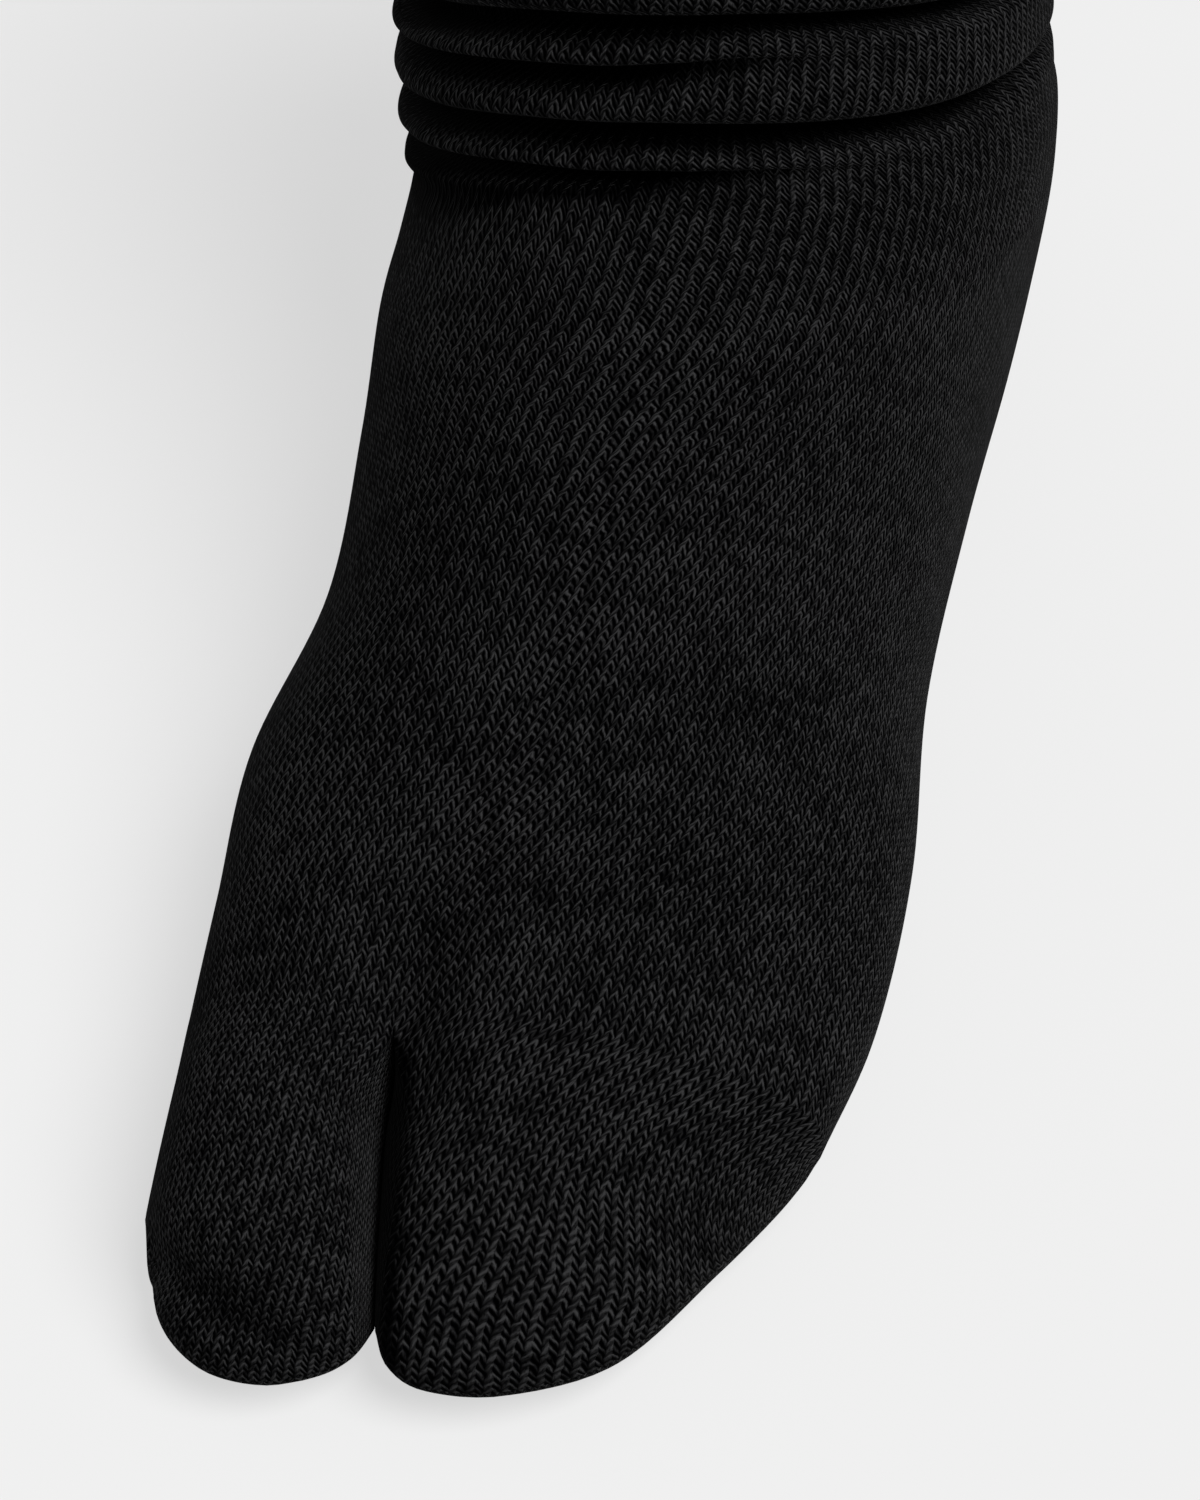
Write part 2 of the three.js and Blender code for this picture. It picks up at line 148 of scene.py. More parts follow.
POCKETS = {
    "big": dict(far=-45.1, near=-16.62, top=33, tip_top=25,
                front=[(-44.8, -166), (-40.2, -179.4), (-32.8, -186.2), (-24.2, -187.3),
                       (-17.2, -184.6), (-13, -181), (-10.62, -176)]),
    "lesser": dict(far=42.6, near=-16.5, top=32, tip_top=22,
                   front=[(39.2, -145.4), (32.3, -157.6), (22.0, -173.9), (8.6, -181.8),
                          (-2.2, -183.5), (-7.8, -181.2), (-10.5, -176.4)]),
}
POCKET_MIDDLE, POCKET_TIP_MIDDLE = 11, 9    # height of a pocket's widest place, and of its tip's seam
POCKET_SQUARENESS = 2.3
POCKET_SHOULDER = 42                        # degrees above and below the web where the pockets part
POCKET_CLOSING, POCKET_ROUNDING = 2.6, 2.2  # powers of the curve that closes the tip
POCKET_BLEND = 0.35                         # share over which the split's ring becomes the pocket's
POCKET_SLANT = 0.16                         # the lesser toes lean this far over the big toe, by height

# Soft dents that the cloth takes over the toes, with painted shade in them: points of the line of
# each, its depth and half width.
DENTS = [
    dict(line=[(-43, -172, 9), (-39, -177, 14.5), (-35, -180, 17), (-30.5, -182.3, 17),
               (-26, -183.6, 16), (-21, -183.8, 14.5), (-17, -182.5, 13)], depth=3.2, wide=4.6),
]
DENT_STEPS = 40            # steps along a dent's line
DENT_FULLNESS = 0.7        # power by which a dent deepens from its two ends
DENT_PAINTED_SHADE = (0.5, 1.5)    # its painted shade is as dark at its two ends as a crease this many times as deep
CLEFT_X = (-16.2, -10.4)   # the cleft between the toes, middle of its painted shade, at the split and at its far end
CLEFT_END_Y = -176
CLEFT_DARKENS = (1.6, 6.5)    # how far its painted shade reaches over the big toe and the lesser toes
CLEFT_SHADE_DEPTH = 6.5           # depth of crease that its painted shade is worth
CLEFT_ONSET = 0.125        # share of the cleft's length over which its painted shade comes in

# How the stitches lie. A wale is a column of stitches down the sock, a course a row of them round it.
WALES = 156                # round the whole sock
INNER_HALF = (0.5, 0.42)   # share of the wales on the inner half, at the ankle and at the split
INNER_HALF_FROM = 8        # section from which that share changes
LEAN = 4.5                 # degrees round that a wale wanders to the inner side, for each section
LEAN_FROM = 9.4            # section where it starts
LEAN_ONSET = 0.7           # sections over which it comes in
WEB_WALES = 22             # up the web between the toe pockets
COURSE_ROWS = (0, 3, 7, 9, 11, 12.5, 14.5, 16)
COURSE_SPACING = (1.1, 1.06, 1.0, 0.9, 0.9, 1.1, 1.14, 1.28)    # millimetres, at those rows
COURSE_JOIN = (2.5, 10.5)  # rows over which, in front, the leg's courses pass into the foot's
GORE_SIDE, GORE_FADE = 50, 30                # degrees from the front to the heel's gore, and its fade
TOE_COURSE = {"big": 1.15, "lesser": 1.38}   # millimetres
TOE_PLACES = (0, 11.5, 20.7, 30, 39, 57.5)   # millimetres from the split, for the next table
TOE_LEAN = {"big": (0, 0.5, 1.4, 2.6, 4.2, 7),    # wales that a wale has wandered there
            "lesser": (0, 6, 10.8, 14, 15.8, 17)}
TOE_UPPER = {"big": 0.5, "lesser": 0.375}    # share of a pocket's wales that lies over its upper half
TOE_UPPER_FROM, TOE_UPPER_REACH = 9, 28      # millimetres from the split to that, and its reach
LOOP_ROWS = (0, 7, 10, 12, 14, 16, 17)       # 17 stands for the toes
LOOP_APEX = (0.34, 0.34, 0.32, 0.36, 0.38, 0.44, 0.48)    # where a loop's top lies across its wale
LOOP_CLIMB = (1.1, 1.35, 1.75, 1.3, 1.08, 0.97, 0.85)     # courses that a loop's legs span
TOE_LOOP_REACH = 14                          # millimetres over which the toes' own loops come in

# The rib-knit welt at the top.
RIBS = 78
RIB_POINTS = 6             # points round each rib
RIB_DEPTH = 0.26           # from the middle of the cloth to a rib's crest
RIB_PHASE = 0.25           # puts the crest of a rib on the middle of a wale
WELT_PROUD = 0.35          # the welt stands this far proud of the leg's cloth, inside and outside
WELT_TOP, WELT_FOOT = 0.07, 1.07    # in sections
WELT_FADE = 0.2            # sections over which its foot tapers into the leg
WELT_HEM = 0.04            # how far its very foot stands proud of the leg
WELT_RINGS, WELT_LIP_RINGS = 13, 9
WELT_COURSE = 1.0          # millimetres

# ---- small tools ---------------------------------------------------------------------------------


def ease(x):
    """From 0 to 1 with a soft start and end."""
    x = np.clip(x, 0, 1)
    return x * x * (3 - 2 * x)


def signed_power(x, power):
    return np.sign(x) * np.abs(x) ** power


def through(values, t):
    """A smooth curve through evenly numbered rows of values, read at the places t."""
    values = np.asarray(values, float)
    last = len(values) - 1
    t = np.asarray(t, float)
    i = np.clip(np.floor(t).astype(int), 0, last - 1)
    f, first, end = t - i, i == 0, i == last - 1
    if values.ndim > 1:
        f, first, end = f[..., None], first[..., None], end[..., None]
    b, c = values[i], values[i + 1]
    a = np.where(first, 2 * b - c, values[np.maximum(i - 1, 0)])
    d = np.where(end, 2 * c - b, values[np.minimum(i + 2, last)])
    return b + 0.5 * f * (c - a + f * (2 * a - 5 * b + 4 * c - d + f * (3 * (b - c) + d - a)))


def evenly(points, count):
    """count + 1 points evenly spaced along a line of points."""
    along = np.concatenate([[0], np.cumsum(np.linalg.norm(np.diff(points, axis=0), axis=1))])
    places = np.linspace(0, along[-1], count + 1)
    return np.stack([np.interp(places, along, points[:, k]) for k in range(3)], axis=1)


def round_table(values, degrees):
    """A table over CREASE_DEGREES, read smoothly at the given degrees."""
    fine = np.arange(-180, 180)
    line = np.interp(fine, CREASE_DEGREES, values, period=360)
    reach = np.arange(-3 * CREASE_SOFTNESS, 3 * CREASE_SOFTNESS + 1)
    weights = np.exp(-0.5 * (reach / CREASE_SOFTNESS) ** 2)
    line = sum(w * np.roll(line, k) for k, w in zip(reach, weights / weights.sum()))
    return np.interp(degrees, fine, line, period=360)


# ---- the leg and foot ----------------------------------------------------------------------------

FINE = 48              # points along each quarter of a ring before it is spaced evenly
FINE_ROWS = 12         # rings per section in the smooth form that the folds are read from
FORM_END = 1e-6        # keeps the last place inside the last step of the smooth form
NORMAL_STEP = 0.05     # sections each way over which the form's direction is measured
ROW_SNAP = 1e-9        # a row this little short of a whole number counts as that number
ROW_GAP = 0.02         # sections kept free of rings beside the first and the last one


class Tube:
    """The leg and foot with `around` points to a ring."""

    def __init__(self, around):
        self.around = around
        degrees = 360 * np.arange(around) / around
        self.degrees = np.where(degrees > 180, degrees - 360, degrees)
        rows = np.arange(LAST_ROW * FINE_ROWS + 1) / FINE_ROWS
        self.form = np.array([self.smooth_ring(section) for section in through(SECTION_TABLE, rows)])
        blank = np.zeros(around)
        self.depths = [round_table(CREASE_DEPTHS[n], self.degrees) if n in CREASE_DEPTHS else blank
                       for n in SECTION_NAMES]
        self.shifts = [round_table(CREASE_SHIFTS[n], self.degrees) if n in CREASE_SHIFTS else blank
                       for n in SECTION_NAMES]

    def smooth_ring(self, section):
        """From the front point round the outer side to the back and home by the inner side."""
        s = dict(zip(SECTION_COLUMNS, section))
        back = np.array([0, s["back_y"], s["back_z"]])
        across = np.array([0, s["front_y"], s["front_z"]]) - back
        up = np.array([0, across[2], -across[1]]) / np.linalg.norm(across)
        q = np.radians(90) * np.arange(FINE + 1) / FINE
        sine, cosine = np.sin(q), np.cos(q).clip(0)

        def half(side, rise):
            x = np.concatenate([
                s["crest"] + (side - s["crest"]) * sine ** (2 / s["p_front"]),
                (s["keel"] + (side - s["keel"]) * cosine ** (2 / s["p_back"]))[1:]])
            v = np.concatenate([
                s["wide"] + (1 - s["wide"]) * cosine ** (2 / s["p_front"]),
                (s["wide"] * (1 - sine ** (2 / s["p_back"])))[1:]])
            lift = rise * np.clip(x / side, 0, 1) ** 2
            points = back + v[:, None] * across + lift[:, None] * up
            points[:, 0] = x
            return evenly(points, self.around // 2)

        outer = half(s["outer"], s["rise_out"])
        inner = half(s["inner"], s["rise_in"])[::-1]
        return np.concatenate([outer[:-1], inner[:-1]])

    def on_form(self, t, shift=0):
        """Points of the smooth form at t, an array with one value for each place round the ring."""
        place = np.clip(t * FINE_ROWS, 0, len(self.form) - 1 - FORM_END)
        i = np.floor(place).astype(int)
        f = (place - i)[..., None]
        j = (np.arange(self.around) + shift) % self.around
        return self.form[i, j] * (1 - f) + self.form[i + 1, j] * f

    def outwards(self, t):
        """The direction out of the smooth form at t."""
        below = self.on_form(np.minimum(t + NORMAL_STEP, LAST_ROW))
        above = self.on_form(np.maximum(t - NORMAL_STEP, 0))
        normal = np.cross(below - above, self.on_form(t, 1) - self.on_form(t, -1))
        return normal / np.linalg.norm(normal, axis=-1, keepdims=True)

    def section_above(self, row):
        """Number of the section at or above a row, and how far past it the row lies."""
        i = min(int(math.floor(row + ROW_SNAP)), LAST_ROW - 1)
        return i, row - i

    def pinch(self, row):
        """How deep the cloth is drawn in, all round one row."""
        i, f = self.section_above(row)
        above, below = self.depths[i], self.depths[i + 1]
        if i == FIRST_CREASE - 1:
            return below * shoulder(1 - f)
        if i == LAST_CREASE:
            return above * shoulder(f)
        if FIRST_CREASE <= i < LAST_CREASE:
            return above * shoulder(f) + below * shoulder(1 - f)
        return np.zeros(self.around)

    def painted_shade(self, row):
        """Painted shade all round one row, as a depth of crease: in a crease, and as painted shadow
        just under one.
        """
        i, f = self.section_above(row)
        if FIRST_CREASE <= i < LAST_CREASE:
            under = self.depths[i] * (1 - ease(f / CREASE_SHADOW_REACH))
        elif i >= LAST_CREASE:
            reach = np.interp(self.degrees, LAST_SHADOW_DEGREES, LAST_SHADOW_REACH)
            under = self.depths[LAST_CREASE] * (1 - ease((row - LAST_CREASE) / reach))
        else:
            under = 0
        return np.maximum(self.pinch(row), under)

    def ring(self, row):
        """One ring of the cloth's outer face. Whole rows run along the creases."""
        i, f = self.section_above(row)
        sag = 0
        if FIRST_CREASE - 1 <= i < LAST_CREASE:
            full = np.clip(self.depths[i + 1] / FULL_SAG_DEPTH, 0, 1)
            sag = ROLL_SAG * math.sin(math.pi * f) * full
        places = row + self.shifts[i] * (1 - f) + self.shifts[i + 1] * f
        points = self.on_form(places + sag) - self.outwards(places) * self.pinch(row)[:, None]
        return flat_sole(self.split_valley(points, row))

    def split_valley(self, points, row):
        """The dip above, and the rise below, that lead into the split."""
        fade = ease((row - (LAST_ROW - VALLEY_ROWS)) / VALLEY_ROWS)
        if fade == 0:
            return points
        smooth = self.on_form(np.full(self.around, float(row)))
        top, under = smooth[0], smooth[self.around // 2]
        dip = VALLEY_DEEP * np.exp(-((points[:, 0] - top[0]) / VALLEY_WIDE) ** 2)
        rise = VALLEY_UNDER * np.exp(-((points[:, 0] - under[0]) / VALLEY_WIDE) ** 2)
        height = np.clip((points[:, 2] - under[2]) / (top[2] - under[2]), 0, 1)
        points[:, 2] += fade * (rise * (1 - height) - dip * height)
        return points


def shoulder(f):
    """1 in a crease, falling along a round shoulder to 0 at the crown of the roll beside it."""
    climb = np.clip((f - CREASE_FLOOR) / (0.5 - CREASE_FLOOR), 0, 1)
    return 1 - (1 - (1 - climb) ** 2) ** ROLL_ROUNDNESS


def flat_sole(points):
    """The points sunk a little near the floor and cut flat at it."""
    sunk = SOLE_TRIM * np.clip((SOLE_TRIM_REACH - points[..., 2]) / SOLE_TRIM_REACH, 0, 1)
    points[..., 2] = np.maximum(points[..., 2] - sunk, 0)
    return points


def rows_between(first, last, share):
    """Rows of rings, crowded towards the creases, where a roll's sides turn in steeply."""
    rows = []
    for i, steps in enumerate(SECTION_TABLE[:-1, -1]):
        steps = max(2, int(round(steps / share)))
        f = np.arange(steps) / steps
        if FIRST_CREASE <= i < LAST_CREASE:
            f = (1 - np.cos(math.pi * f)) / 2
        rows += list(i + f)
    rows.append(float(LAST_ROW))
    inside = [row for row in rows if first + ROW_GAP < row < last - ROW_GAP]
    return np.array([first, *inside, last])


# ---- the toe pockets -----------------------------------------------------------------------------


def pocket_ring(pocket, t, around, web):
    """A closed ring of a pocket, from the top of the web round the far side to its foot, then back
    up the web. t runs from 0 at the split to 1 at the tip."""
    middle = POCKET_MIDDLE + (POCKET_TIP_MIDDLE - POCKET_MIDDLE) * t
    top = pocket["top"] + (pocket["tip_top"] - pocket["top"]) * t
    opening = max(1 - t ** POCKET_CLOSING, 0) ** (1 / POCKET_ROUNDING)
    front = np.array(pocket["front"], float)

    def arc(start, end, count):
        angle = np.radians(np.linspace(start, end, 2 * FINE + 1))
        sideways = signed_power(np.cos(angle), 2 / POCKET_SQUARENESS)
        upward = signed_power(np.sin(angle), 2 / POCKET_SQUARENESS)
        far = (1 - sideways) / 2
        edge = through(front, (1 - far) * (len(front) - 1))
        root = pocket["near"] + (pocket["far"] - pocket["near"]) * far
        rise = np.where(upward > 0, top - middle, middle) * opening * upward
        slant = POCKET_SLANT * rise * (1 - far) ** 2
        line = np.stack([root + (edge[:, 0] - root) * t - slant,
                         SPLIT_Y + (edge[:, 1] - SPLIT_Y) * t,
                         middle + rise], axis=1)
        return evenly(line, count)

    free = arc(POCKET_SHOULDER, 360 - POCKET_SHOULDER, around // 2)
    inside = arc(360 - POCKET_SHOULDER, 360 + POCKET_SHOULDER, web)[1:-1]
    return flat_sole(np.concatenate([free, inside]))


# ---- the leg and foot as a mesh, with the place of every stitch ----------------------------------


def wale_at(degrees, row):
    """Number of the wale at a place round the tube."""
    changed = ease((row - INNER_HALF_FROM) / (LAST_ROW - INNER_HALF_FROM))
    inner = INNER_HALF[0] + (INNER_HALF[1] - INNER_HALF[0]) * changed
    place = degrees / 360 * 2 * np.where(degrees < 0, inner, 1 - inner)
    past = row - LEAN_FROM
    return WALES * (place + LEAN / 360 * (past + math.hypot(past, LEAN_ONSET)) / 2)


def corner(wales, courses, rows):
    """What the knit needs at one corner of each face: wale, course, and the form of the loop there."""
    rows = np.broadcast_to(rows, np.shape(wales))
    apex, climb = (np.interp(rows, LOOP_ROWS, table) for table in (LOOP_APEX, LOOP_CLIMB))
    return np.stack([wales, courses, apex, climb], 1)


class Face:
    """One face of the leg and foot: points, four-sided faces that look outwards, for each corner of
    each face the stitch that lies there, and for each point its painted shade, as a depth of crease."""

    def __init__(self, around, web, toe_rings, share=1):
        self.around, self.web_steps, self.toe_rings = around, web, toe_rings
        self.tube = Tube(around)
        self.rows = rows_between(TOP_ROW, LAST_ROW, share)
        self.rings = np.array([self.tube.ring(row) for row in self.rows])
        self.points = self.rings.reshape(-1, 3)
        self.faces, self.stitches = [], []
        self.add_tube()
        self.add_toes()
        self.faces, self.stitches = np.concatenate(self.faces), np.concatenate(self.stitches)
        # painted shade, as a depth of crease: in the cleft, in and under the creases, and in the dents
        self.painted_shade_depth = self.cleft_painted_shade()
        on_tube = np.ravel([self.tube.painted_shade(row) for row in self.rows])
        self.painted_shade_depth[:len(on_tube)] += on_tube
        for dent in DENTS:
            self.press(**dent)

    def cleft_painted_shade(self):
        """The painted shade in the cleft between the toes, as a depth of crease."""
        x, y = self.points[:, 0], self.points[:, 1]
        past = (SPLIT_Y - y) / (SPLIT_Y - CLEFT_END_Y)
        middle = CLEFT_X[0] + (CLEFT_X[1] - CLEFT_X[0]) * past
        over_big, over_lesser = CLEFT_DARKENS
        away = np.where(x < middle, (middle - x) / over_big, (x - middle) / over_lesser)
        return CLEFT_SHADE_DEPTH * (1 - ease(away)) * ease(past / CLEFT_ONSET)

    def press(self, line, depth, wide):
        """Sink the cloth along a line of points, and paint shade into the dent there."""
        line = evenly(through(line, np.linspace(0, len(line) - 1, DENT_STEPS)), DENT_STEPS)
        near = np.linalg.norm(self.points[:, None] - line, axis=2)
        along = near.argmin(axis=1) / (len(line) - 1)
        deepest = depth * np.sin(math.pi * along).clip(0) ** DENT_FULLNESS
        sunk = deepest * np.exp(-(near.min(axis=1) / wide) ** 2)
        self.points = self.points - sunk[:, None] * vertex_normals(self.points, self.faces)
        # painted shade in the dent, as a depth of crease
        self.painted_shade_depth = self.painted_shade_depth + sunk * np.interp(along, (0, 1), DENT_PAINTED_SHADE)

    def add_tube(self):
        """The faces and stitches from the top to the split."""
        around, degrees = self.around, self.tube.degrees
        spacing = np.interp((self.rows[1:] + self.rows[:-1]) / 2, COURSE_ROWS, COURSE_SPACING)
        steps = np.linalg.norm(np.diff(self.rings, axis=0), axis=2) / spacing[:, None]
        from_top = np.concatenate([np.zeros((1, around)), np.cumsum(steps, axis=0)])
        self.split_course = from_top[-1, 0]
        from_split = self.split_course - from_top[-1] + from_top
        # in front the leg's courses pass smoothly into the foot's; behind they meet in the heel's gore
        soft = ease((self.rows - COURSE_JOIN[0]) / (COURSE_JOIN[1] - COURSE_JOIN[0]))
        sharp = ease((np.abs(degrees) - GORE_SIDE) / GORE_FADE)
        j = np.arange(around)
        after = (j + 1) % around
        at_back = j == around // 2
        for r in range(len(self.rows) - 1):
            below_gore = float(self.rows[r] >= GORE_ROW)
            wales, courses = [], []
            for k in (r, r + 1):
                share = soft[k] * (1 - sharp) + below_gore * sharp
                courses.append(from_top[k] * (1 - share) + from_split[k] * share)
                wales.append(wale_at(degrees, self.rows[k]))
            start, next_start = r * around, (r + 1) * around
            self.faces.append(np.stack([start + j, next_start + j,
                                        next_start + after, start + after], 1))
            left = [corner(wales[k], courses[k], self.rows[r + k]) for k in (0, 1)]
            right = [corner(wales[k][after] + np.where(at_back, WALES, 0), courses[k][after],
                            self.rows[r + k]) for k in (0, 1)]
            self.stitches.append(np.stack([left[0], left[1], right[1], right[0]], 1))

    def add_toes(self):
        """The web across the split, and a pocket on each side of it."""
        half = self.around // 2
        split = (len(self.rows) - 1) * self.around
        rise = np.arange(1, self.web_steps)[:, None] / self.web_steps
        middle = self.points[split + half] * (1 - rise) + self.points[split] * rise
        inside = len(self.points) + np.arange(self.web_steps - 1)
        self.points = np.concatenate([self.points, middle])
        self.web = [split + half, *inside, split]
        for name in POCKETS:
            j = np.arange(half + 1)
            free = split + (j if name == "lesser" else (self.around - j) % self.around)
            self.add_pocket(name, np.concatenate([free, inside]))

    def add_pocket(self, name, root):
        """One toe pocket, from its root, a ring of points at the split, to the seam across its tip."""
        around, half, web = self.around, self.around // 2, self.web_steps
        pocket, outer_side = POCKETS[name], name == "lesser"
        start = pocket_ring(pocket, 0, around, web)
        root_points, ring, count = self.points[root], root, len(root)
        columns = np.arange(count)
        side = 1 if outer_side else -1
        free = np.arange(half + 1) / half
        wales = wale_at(side * 180 * free, LAST_ROW)
        stretched = wales[0] + (wales[-1] - wales[0]) * through((0, TOE_UPPER[name], 1), 2 * free)
        up_web = wales[0] - side * WEB_WALES * (1 - np.arange(web) / web)

        def corner_along(courses, step):
            """The left corner of each column of faces, or with step 1 the right one."""
            courses = np.roll(courses, -step)
            past = (courses - self.split_course) * TOE_COURSE[name]
            own = ease((past - TOE_UPPER_FROM) / TOE_UPPER_REACH)
            base, wide = (np.concatenate([w[step:half + step], up_web[step:], w[:step]])
                          for w in (wales, stretched))
            wander = np.interp(past, TOE_PLACES, TOE_LEAN[name])
            return corner(base * (1 - own) + wide * own + wander, courses,
                          LAST_ROW + np.clip(past / TOE_LOOP_REACH, 0, 1))

        courses = np.full(count, self.split_course)
        for k in range(1, self.toe_rings + 1):
            t = math.sin(math.radians(90) * k / self.toe_rings) ** TIP_CROWDING
            own = ease(t / POCKET_BLEND)
            points = pocket_ring(pocket, t, around, web)
            points = (root_points + points - start) * (1 - own) + points * own
            after = len(self.points) + columns
            if k == self.toe_rings:      # the last ring is folded flat into the seam across the tip
                over = np.where(columns <= half, half - columns, 2 * half + web - columns)
                after = len(self.points) + np.minimum(columns, over)
            before = self.points[ring]
            self.points = np.concatenate([self.points, points])
            length = np.linalg.norm(self.points[after] - before, axis=1)
            next_courses = courses + length / TOE_COURSE[name]
            face = np.stack([ring, after, np.roll(after, -1), np.roll(ring, -1)], 1)
            stitches = np.stack([corner_along(courses, 0), corner_along(next_courses, 0),
                                 corner_along(next_courses, 1), corner_along(courses, 1)], 1)
            self.faces.append(face if outer_side else face[:, ::-1])
            self.stitches.append(stitches if outer_side else stitches[:, ::-1])
            ring, courses = after, next_courses


def vertex_normals(points, faces):
    a, b, c, d = (points[faces[:, k]] for k in range(4))
    normal = np.cross(c - a, d - b)
    sums = np.zeros_like(points)
    for k in range(4):
        np.add.at(sums, faces[:, k], normal)
    return sums / np.maximum(np.linalg.norm(sums, axis=1, keepdims=True), 1e-12)


def make_piece(name, points, faces, stitches, material, painted_shade_depths=None):
    """A piece of cloth. stitches has the wale, course and form of loop at each corner of each face.
    The last argument has the painted shade at each point, as a depth of crease in millimetres."""
    used = np.unique(np.concatenate([np.ravel(f) for f in faces]))
    place = np.zeros(len(points), int)
    place[used] = np.arange(len(used))
    rows = [place[face].tolist() for block in faces for face in block]
    mesh = bpy.data.meshes.new(name)
    mesh.from_pydata((points[used] * MM).tolist(), [], rows)
    table = np.concatenate([s.reshape(-1, 4) for s in stitches]).astype(np.float32)
    for name_of_map, columns in (("stitches", table[:, :2]), ("loop form", table[:, 2:])):
        mesh.uv_layers.new(name=name_of_map).data.foreach_set("uv", columns.ravel())
    # each point's painted shade, stored for the knit's material
    if painted_shade_depths is not None:
        crease = mesh.attributes.new("crease", "FLOAT", "POINT")
        crease.data.foreach_set("value", painted_shade_depths[used].astype(np.float32))
    mesh.shade_smooth()
    mesh.materials.append(material)
    piece = bpy.data.objects.new(name, mesh)
    bpy.context.scene.collection.objects.link(piece)
    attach(piece, "root")
    return piece


def rim_between(outer_ring, inner_ring, share):
    """Faces that close the cloth's edge, from a ring outside to one inside with fewer points."""
    faces = []
    count = len(inner_ring)
    for k in range(count):
        a, b, c = (outer_ring[(share * k + step) % len(outer_ring)] for step in range(3))
        d, e = inner_ring[k], inner_ring[(k + 1) % count]
        faces += [(a, b, d), (b, e, d), (b, c, e)]
    return np.array(faces)


def make_leg_and_foot(material):
    """The sock but its welt: an outer face, an inner one, and the edge that joins them at the top."""
    outer = Face(AROUND, WEB, TOE_RINGS)
    inner = Face(AROUND // INNER_SHARE, WEB // INNER_SHARE, TOE_RINGS // INNER_SHARE, INNER_SHARE)
    inner_points = inner.points - WALL * vertex_normals(inner.points, inner.faces)
    # behind the web the cloth is thicker, and it keeps its wall where it meets the sole and the upper
    backing = np.tile((0, WEB_BACKING, 0), (len(inner.web), 1))
    backing[0, 2], backing[-1, 2] = WALL, -WALL
    inner_points[inner.web] = inner.points[inner.web] + backing
    count = len(outer.points)
    rim = rim_between(np.arange(AROUND), count + np.arange(AROUND // INNER_SHARE), INNER_SHARE)
    points = np.concatenate([outer.points, inner_points])
    faces = [outer.faces, inner.faces[:, ::-1] + count, rim]
    on_rim = np.tile(outer.stitches[0, 0], (len(rim), 3, 1))
    stitches = [outer.stitches, inner.stitches[:, ::-1], on_rim]
    # painted shade on the outer face only
    painted_shade_depths = np.concatenate([outer.painted_shade_depth, np.zeros(len(inner_points))])
    piece = make_piece("leg_and_foot", points, faces, stitches, material, painted_shade_depths)
    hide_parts("sock")
    return piece


# ---- the welt ------------------------------------------------------------------------------------


def welt_section():
    """The section of the welt, from its foot up the outside, over the top and down the inside: for
    each step its row, how far it stands out from the leg's outer face, its height over the top row,
    and how much of the ribs' depth it has."""
    middle, half_thick = -WALL / 2, WALL / 2 + WELT_PROUD
    steps = []
    rows = np.linspace(WELT_FOOT, WELT_TOP, WELT_RINGS)
    for row in rows[:-1]:
        grown = float(ease((WELT_FOOT - row) / WELT_FADE))
        steps.append((row, WELT_HEM + (WELT_PROUD - WELT_HEM) * grown, 0, grown))
    for angle in np.radians(np.linspace(0, 180, WELT_LIP_RINGS)):
        out, up = half_thick * math.cos(angle), half_thick * math.sin(angle)
        steps.append((WELT_TOP, middle + out, up, 1))
    for row in rows[-2::-2]:
        steps.append((row, middle - half_thick, 0, 1))
    return steps


def make_welt(material):
    """The rib-knit band, its section swept round the leg with every rib in relief."""
    count = RIBS * RIB_POINTS
    tube = Tube(count)
    ribs = RIB_DEPTH * np.cos(2 * math.pi * (np.arange(count) / RIB_POINTS - RIB_PHASE))
    wales = tube.degrees / 360 * WALES
    rings, courses = [], []
    for row, offset, height, grown in welt_section():
        place = np.full(count, float(row))
        base, normal = tube.on_form(place), tube.outwards(place)
        up = base - tube.on_form(place + NORMAL_STEP)
        up /= np.linalg.norm(up, axis=1, keepdims=True)
        rings.append(base + normal * (offset + ribs * grown)[:, None] + up * height)
        if courses:
            step = np.linalg.norm(rings[-1] - rings[-2], axis=1).mean() / WELT_COURSE
            courses.append(courses[-1] - step)
        else:
            courses.append(0)
    points = np.concatenate(rings)
    j = np.arange(count)
    after = (j + 1) % count
    next_wales = wales[after] + np.where(j == count // 2, WALES, 0)
    faces, stitches = [], []
    for k in range(len(rings)):
        a, b = k * count, (k + 1) % len(rings) * count
        faces.append(np.stack([a + j, a + after, b + after, b + j], 1))
        low = np.full(count, courses[k])
        high = np.full(count, courses[k] - 1 if b == 0 else courses[k + 1])
        stitches.append(np.stack([corner(wales, low, 0), corner(next_wales, low, 0),
                                  corner(next_wales, high, 0), corner(wales, high, 0)], 1))
    piece = make_piece("welt", points, faces, stitches, material)
    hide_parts("sock")
    return piece


# ---- materials -----------------------------------------------------------------------------------


